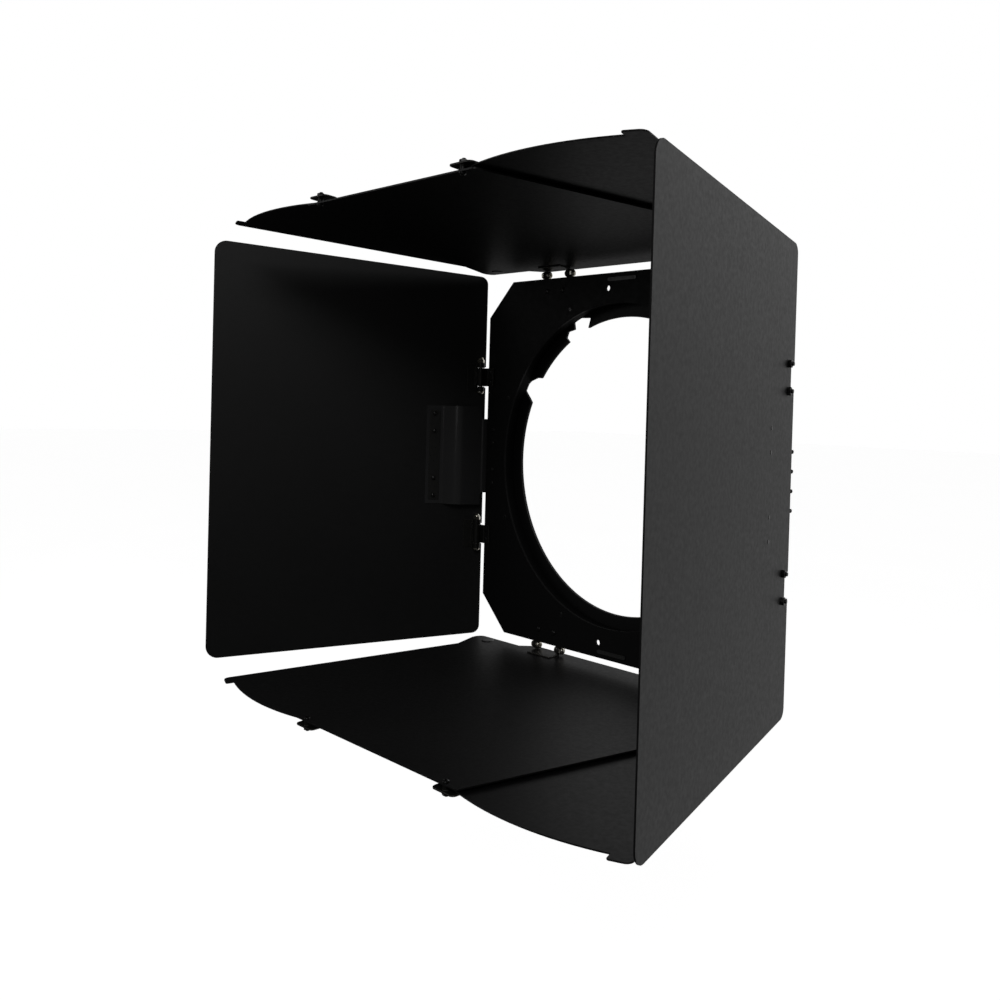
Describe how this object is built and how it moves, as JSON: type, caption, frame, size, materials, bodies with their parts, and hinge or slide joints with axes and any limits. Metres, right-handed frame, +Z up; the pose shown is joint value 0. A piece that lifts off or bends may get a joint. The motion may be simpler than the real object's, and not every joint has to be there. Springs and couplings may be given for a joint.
{
  "type": "barn door attachment",
  "caption": "Folding light-shaping doors on an octagonal frame with a round lamp socket: flared side leaves, and upper and lower leaves with swing-out corner wings.",
  "frame": {"origin": "on the axis of the mount ring, in the plane of its rear rim", "axes": "+Y points back along the beam axis to the lamp, -Y is the way the light goes, +X is to the right seen from the front with the upper leaf at +Z, +Z is up"},
  "size_m": [0.5754, 0.2758, 0.4234],
  "materials": {
    "leaf_sheet": "satin black powder coat over 1.2 mm sheet",
    "frame_sheet": "matte black powder coat over 2 mm plate",
    "ring_cast": "black anodised, turned",
    "hinge_steel": "black oxide steel",
    "bright_hardware": "worn yellow zinc plate with bright edges",
    "black_hardware": "black zinc fasteners",
    "seal_strip": "black coated spring strip with a soft sheen"
  },
  "bodies": {
    "frame": {"frame_plate": "frame_sheet", "mount_ring": "ring_cast", "bayonet_plate": "ring_cast", "ring_rivets": "black_hardware", "left_seal_anchor": "hinge_steel", "left_seal_tail": "seal_strip", "right_seal_anchor": "hinge_steel", "right_seal_tail": "seal_strip", "anchor_rivets": "black_hardware", "anchor_screws": "black_hardware", "anchor_nuts": "black_hardware", "left_upper_hinge_tongue": "hinge_steel", "left_lower_hinge_tongue": "hinge_steel", "right_upper_hinge_tongue": "hinge_steel", "right_lower_hinge_tongue": "hinge_steel", "top_left_hinge_fork": "hinge_steel", "top_right_hinge_fork": "hinge_steel", "bottom_left_hinge_fork": "hinge_steel", "bottom_right_hinge_fork": "hinge_steel", "hinge_mount_rivets": "black_hardware", "hinge_bolts": "bright_hardware", "hinge_acorn_nuts": "bright_hardware", "hinge_washers": "black_hardware"},
    "left_leaf": {"left_leaf": "leaf_sheet", "left_upper_hinge_fork": "hinge_steel", "left_lower_hinge_fork": "hinge_steel", "left_hinge_nuts": "black_hardware", "left_seal_strip": "seal_strip", "left_seal_clamp": "hinge_steel", "left_clamp_rivets": "black_hardware"},
    "right_leaf": {"right_leaf": "leaf_sheet", "right_upper_hinge_fork": "hinge_steel", "right_lower_hinge_fork": "hinge_steel", "right_hinge_nuts": "black_hardware", "right_seal_strip": "seal_strip", "right_seal_clamp": "hinge_steel", "right_clamp_rivets": "black_hardware"},
    "top_leaf": {"top_panel": "leaf_sheet", "top_left_hinge_tongue": "hinge_steel", "top_right_hinge_tongue": "hinge_steel", "top_left_guide_clip": "hinge_steel", "top_right_guide_clip": "hinge_steel", "top_nuts": "black_hardware", "top_pivot_rivets": "black_hardware", "top_pivot_washers": "black_hardware", "top_clip_screws": "black_hardware"},
    "bottom_leaf": {"bottom_panel": "leaf_sheet", "bottom_left_hinge_tongue": "hinge_steel", "bottom_right_hinge_tongue": "hinge_steel", "bottom_left_guide_clip": "hinge_steel", "bottom_right_guide_clip": "hinge_steel", "bottom_nuts": "black_hardware", "bottom_pivot_rivets": "black_hardware", "bottom_pivot_washers": "black_hardware", "bottom_clip_screws": "black_hardware"},
    "top_left_wing": {"top_left_wing": "leaf_sheet"},
    "top_right_wing": {"top_right_wing": "leaf_sheet"},
    "bottom_left_wing": {"bottom_left_wing": "leaf_sheet"},
    "bottom_right_wing": {"bottom_right_wing": "leaf_sheet"}
  },
  "joints": [
    {"name": "left_leaf_swing", "type": "hinge", "parent": "frame", "child": "left_leaf", "pos_m": [-0.1744, -0.0304, 0], "axis": [0, 0, -1], "range_deg": [-41.9, 73.1]},
    {"name": "right_leaf_swing", "type": "hinge", "parent": "frame", "child": "right_leaf", "pos_m": [0.1744, -0.0304, 0], "axis": [0, 0, 1], "range_deg": [-27.9, 87.1]},
    {"name": "top_leaf_swing", "type": "hinge", "parent": "frame", "child": "top_leaf", "pos_m": [0, -0.0226, 0.1713], "axis": [1, 0, 0], "range_deg": [-93.7, 28]},
    {"name": "bottom_leaf_swing", "type": "hinge", "parent": "frame", "child": "bottom_leaf", "pos_m": [0, -0.0226, -0.1713], "axis": [-1, 0, 0], "range_deg": [-94.5, 28]},
    {"name": "top_left_wing_turn", "type": "hinge", "parent": "top_leaf", "child": "top_left_wing", "pos_m": [-0.1494, -0.03323, 0.17982], "axis": [0, -0.1097, -0.994], "range_deg": [-30, 3]},
    {"name": "top_right_wing_turn", "type": "hinge", "parent": "top_leaf", "child": "top_right_wing", "pos_m": [0.1494, -0.03304, 0.18151], "axis": [0, 0.1097, 0.994], "range_deg": [-30, 1.5]},
    {"name": "bottom_left_wing_turn", "type": "hinge", "parent": "bottom_leaf", "child": "bottom_left_wing", "pos_m": [-0.1494, -0.03335, -0.17967], "axis": [0, 0.0958, -0.9954], "range_deg": [-30, 3]},
    {"name": "bottom_right_wing_turn", "type": "hinge", "parent": "bottom_leaf", "child": "bottom_right_wing", "pos_m": [0.1494, -0.03318, -0.18136], "axis": [0, -0.0958, 0.9954], "range_deg": [-30, 1.5]}
  ]
}
